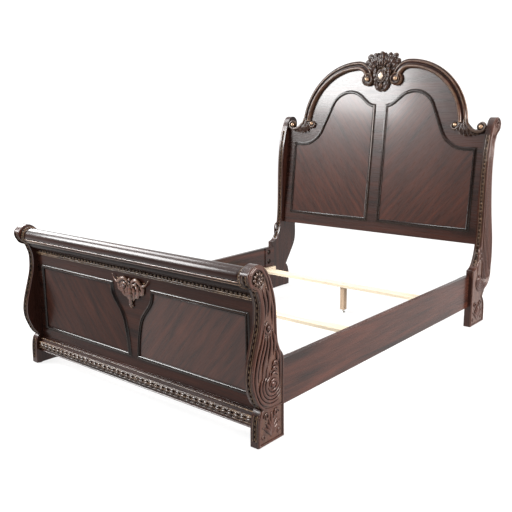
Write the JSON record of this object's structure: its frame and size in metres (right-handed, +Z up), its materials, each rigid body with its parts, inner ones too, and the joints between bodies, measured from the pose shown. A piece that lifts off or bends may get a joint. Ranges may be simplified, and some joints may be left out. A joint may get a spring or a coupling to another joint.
{
  "type": "sleigh bed",
  "caption": "Ornate queen size sleigh bed in dark cherry stain, with a rolled footboard, an arched panelled headboard with carved crest, bolted side rails and pine slats",
  "frame": {"origin": "On the floor, under the middle of the bed's overall length and width.", "axes": "+X is the right of the bed seen from its foot, +Y runs from the footboard to the headboard, +Z is up"},
  "size_m": [1.702, 2.5006, 1.7909],
  "materials": {
    "dark_wood": "dark cherry stain under satin lacquer",
    "veneer": "striped veneer laid in a V, satin lacquer",
    "dark_moulding": "near black stain, lightly rubbed edges, satin lacquer",
    "rubbed_carving": "dark stain with bronze rubbed onto the high spots",
    "back_wood": "stained, thin lacquer",
    "pine": "bare planed pine",
    "leg_wood": "bare tan hardwood",
    "cabochon": "pale polished cabochon with a bronze tint",
    "fastener_steel": "zinc plated",
    "glide_nylon": "black nylon"
  },
  "bodies": {
    "bed_frame": {"foot_centre_leg": "leg_wood", "foot_slat": "pine", "footboard_back_panel": "back_wood", "footboard_base_carving": "rubbed_carving", "footboard_base_rail": "dark_wood", "footboard_bead_moulding": "rubbed_carving", "footboard_core_frame": "back_wood", "footboard_cove_rail": "dark_wood", "footboard_left_field": "veneer", "footboard_left_moulding": "dark_moulding", "footboard_left_post": "dark_wood", "footboard_left_post_beading": "rubbed_carving", "footboard_left_post_carving": "dark_moulding", "footboard_ornament": "rubbed_carving", "footboard_panel": "dark_wood", "footboard_right_field": "veneer", "footboard_right_moulding": "dark_moulding", "footboard_right_post": "dark_wood", "footboard_right_post_beading": "rubbed_carving", "footboard_right_post_carving": "dark_moulding", "footboard_roll_collars": "dark_wood", "footboard_rosettes": "rubbed_carving", "footboard_top_roll": "dark_wood", "head_centre_leg": "leg_wood", "head_slat": "pine", "headboard_back_frame": "back_wood", "headboard_crest": "rubbed_carving", "headboard_crest_jewel": "cabochon", "headboard_left_arch_moulding": "dark_moulding", "headboard_left_corner_scroll": "rubbed_carving", "headboard_left_field": "veneer", "headboard_left_moulding": "dark_moulding", "headboard_left_post": "dark_wood", "headboard_left_post_beading": "rubbed_carving", "headboard_left_post_carving": "dark_moulding", "headboard_panel": "dark_wood", "headboard_right_arch_moulding": "dark_moulding", "headboard_right_corner_scroll": "rubbed_carving", "headboard_right_field": "veneer", "headboard_right_moulding": "dark_moulding", "headboard_right_post": "dark_wood", "headboard_right_post_beading": "rubbed_carving", "headboard_right_post_carving": "dark_moulding", "left_ledger": "pine", "left_side_rail": "dark_wood", "leg_bolts": "fastener_steel", "leg_inserts": "fastener_steel", "middle_centre_leg": "leg_wood", "middle_slat": "pine", "post_glides": "glide_nylon", "rail_bolt_nuts": "fastener_steel", "rail_bolt_washers": "fastener_steel", "rail_bolts": "fastener_steel", "rail_end_plates": "dark_wood", "right_ledger": "pine", "right_side_rail": "dark_wood", "wood_screws": "fastener_steel"},
    "foot_levelling_foot": {"foot_leveller": "fastener_steel"},
    "middle_levelling_foot": {"middle_leveller": "fastener_steel"},
    "head_levelling_foot": {"head_leveller": "fastener_steel"}
  },
  "joints": [
    {"name": "foot_leveller_height", "type": "slide", "parent": "bed_frame", "child": "foot_levelling_foot", "axis": [0, 0, 1], "range_m": [-0.008, 0.01]},
    {"name": "middle_leveller_height", "type": "slide", "parent": "bed_frame", "child": "middle_levelling_foot", "axis": [0, 0, 1], "range_m": [-0.008, 0.01]},
    {"name": "head_leveller_height", "type": "slide", "parent": "bed_frame", "child": "head_levelling_foot", "axis": [0, 0, 1], "range_m": [-0.008, 0.01]}
  ]
}
